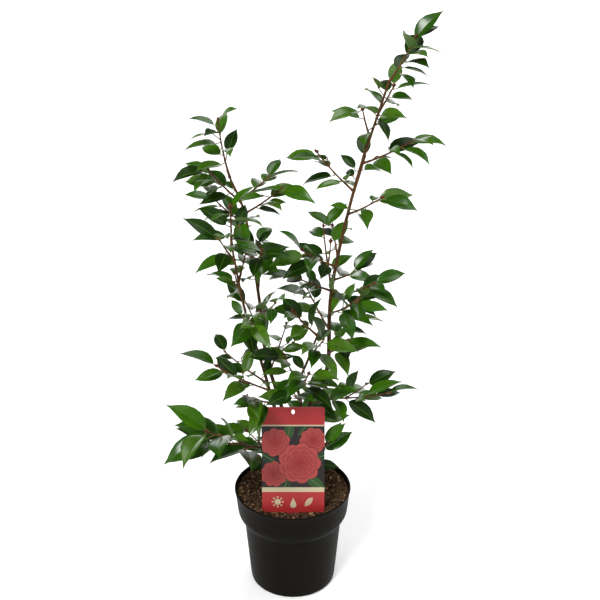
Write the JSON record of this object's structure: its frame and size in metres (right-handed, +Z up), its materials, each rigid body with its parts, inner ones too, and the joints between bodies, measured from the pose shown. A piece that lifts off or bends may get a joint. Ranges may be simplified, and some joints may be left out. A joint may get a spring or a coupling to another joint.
{
  "type": "camellia shrub in a nursery pot",
  "caption": "Young upright camellia shrub with glossy leaves on slender boughs, in a round black nursery pot of soil with a flower picture label on a stake.",
  "frame": {"origin": "centre of the pot's flat underside, at mount base", "axes": "+Z up along the pot's axis, -Y out of the label's face, +X to the viewer's right, the side to which the tallest bough leans"},
  "size_m": [0.3682, 0.3275, 0.8418],
  "materials": {
    "pot": "satin black moulded plastic",
    "soil": "crumbly moist potting compost with pale fibres",
    "label": "printed plastic card, red with a cream stripe and a pink flower picture, light gloss",
    "bark": "fine brown bark, tan on young twigs",
    "foliage": "glossy deep green leaves, paler and duller below"
  },
  "bodies": {
    "root": {"pot": "pot", "soil": "soil", "label": "label", "trunk": "bark", "bough_right": "bark", "bough_left": "bark", "bough_outer": "bark", "bough_middle": "bark", "bough_low": "bark", "bough_right_foliage_1": "foliage", "bough_right_foliage_2": "foliage", "bough_right_foliage_3": "foliage", "bough_right_foliage_4": "foliage", "bough_right_foliage_5": "foliage", "bough_right_foliage_6": "foliage", "bough_right_foliage_7": "foliage", "bough_right_foliage_8": "foliage", "bough_right_foliage_9": "foliage", "bough_right_foliage_10": "foliage", "bough_right_foliage_11": "foliage", "bough_right_foliage_12": "foliage", "bough_right_foliage_13": "foliage", "bough_right_foliage_14": "foliage", "bough_right_foliage_15": "foliage", "bough_right_foliage_16": "foliage", "bough_right_foliage_17": "foliage", "bough_right_foliage_18": "foliage", "bough_right_foliage_19": "foliage", "bough_right_foliage_20": "foliage", "bough_left_foliage_1": "foliage", "bough_left_foliage_2": "foliage", "bough_left_foliage_3": "foliage", "bough_left_foliage_4": "foliage", "bough_left_foliage_5": "foliage", "bough_left_foliage_6": "foliage", "bough_left_foliage_7": "foliage", "bough_left_foliage_8": "foliage", "bough_left_foliage_9": "foliage", "bough_left_foliage_10": "foliage", "bough_left_foliage_11": "foliage", "bough_left_foliage_12": "foliage", "bough_outer_foliage_1": "foliage", "bough_outer_foliage_2": "foliage", "bough_outer_foliage_3": "foliage", "bough_outer_foliage_4": "foliage", "bough_outer_foliage_5": "foliage", "bough_outer_foliage_6": "foliage", "bough_outer_foliage_7": "foliage", "bough_outer_foliage_8": "foliage", "bough_middle_foliage_1": "foliage", "bough_middle_foliage_2": "foliage", "bough_middle_foliage_3": "foliage", "bough_middle_foliage_4": "foliage", "bough_middle_foliage_5": "foliage", "trunk_foliage_1": "foliage", "trunk_foliage_2": "foliage", "trunk_foliage_3": "foliage", "bough_low_foliage_1": "foliage", "bough_low_foliage_2": "foliage", "bough_low_foliage_3": "foliage"}
  },
  "joints": []
}
